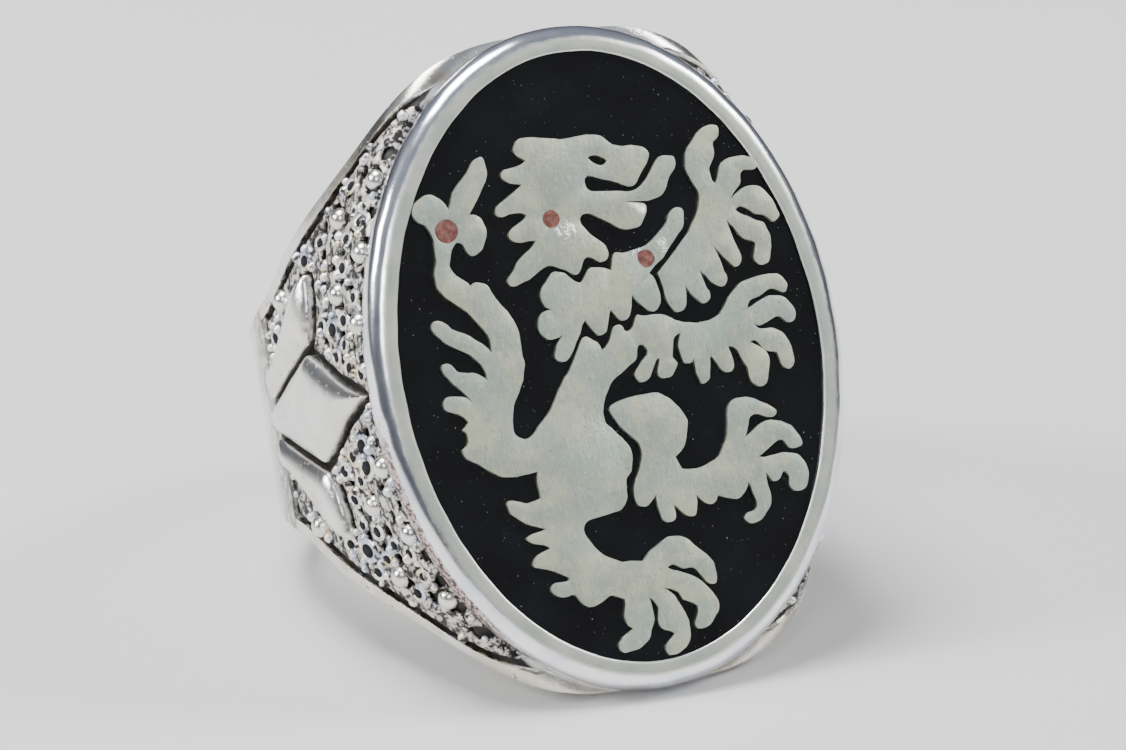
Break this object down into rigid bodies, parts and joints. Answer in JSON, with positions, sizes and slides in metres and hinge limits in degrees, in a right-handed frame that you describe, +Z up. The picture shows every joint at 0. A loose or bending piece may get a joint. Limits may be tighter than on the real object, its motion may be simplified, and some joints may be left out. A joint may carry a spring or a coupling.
{
  "type": "signet ring",
  "caption": "Heavy silver signet ring with an oval black-enamelled face, a heraldic lion and filigree shoulders with tulip petals.",
  "frame": {"origin": "centre of the bottom of the bounding box, on the table the ring lies on", "axes": "+Z up; the oval face looks along -Y and up by the lie of the ring; +Y towards the back of the band; X across the face"},
  "size_m": [0.0212, 0.0274, 0.0249],
  "materials": {
    "polished_silver": "polished",
    "satin_silver": "satin",
    "oxidised_silver": "satin",
    "black_enamel": "gloss",
    "copper": "satin"
  },
  "bodies": {
    "root": {"shank": "polished_silver", "cheek_left": "oxidised_silver", "cheek_right": "oxidised_silver", "face_plate": "oxidised_silver", "bezel_frame": "polished_silver", "enamel_ground": "black_enamel", "copper_pins": "copper", "rail_upper_left": "polished_silver", "rail_lower_left": "polished_silver", "rail_upper_right": "polished_silver", "rail_lower_right": "polished_silver", "tulip_centre_left": "polished_silver", "tulip_centre_right": "polished_silver", "leaf_upper_left": "polished_silver", "leaf_lower_left": "polished_silver", "leaf_upper_right": "polished_silver", "leaf_lower_right": "polished_silver", "granules_left": "polished_silver", "granules_right": "polished_silver", "filigree_left": "satin_silver", "filigree_right": "satin_silver", "lion_head": "satin_silver", "lion_chest": "satin_silver", "lion_raised_foreleg": "satin_silver", "lion_body": "satin_silver", "lion_hind_leg": "satin_silver"}
  },
  "joints": []
}
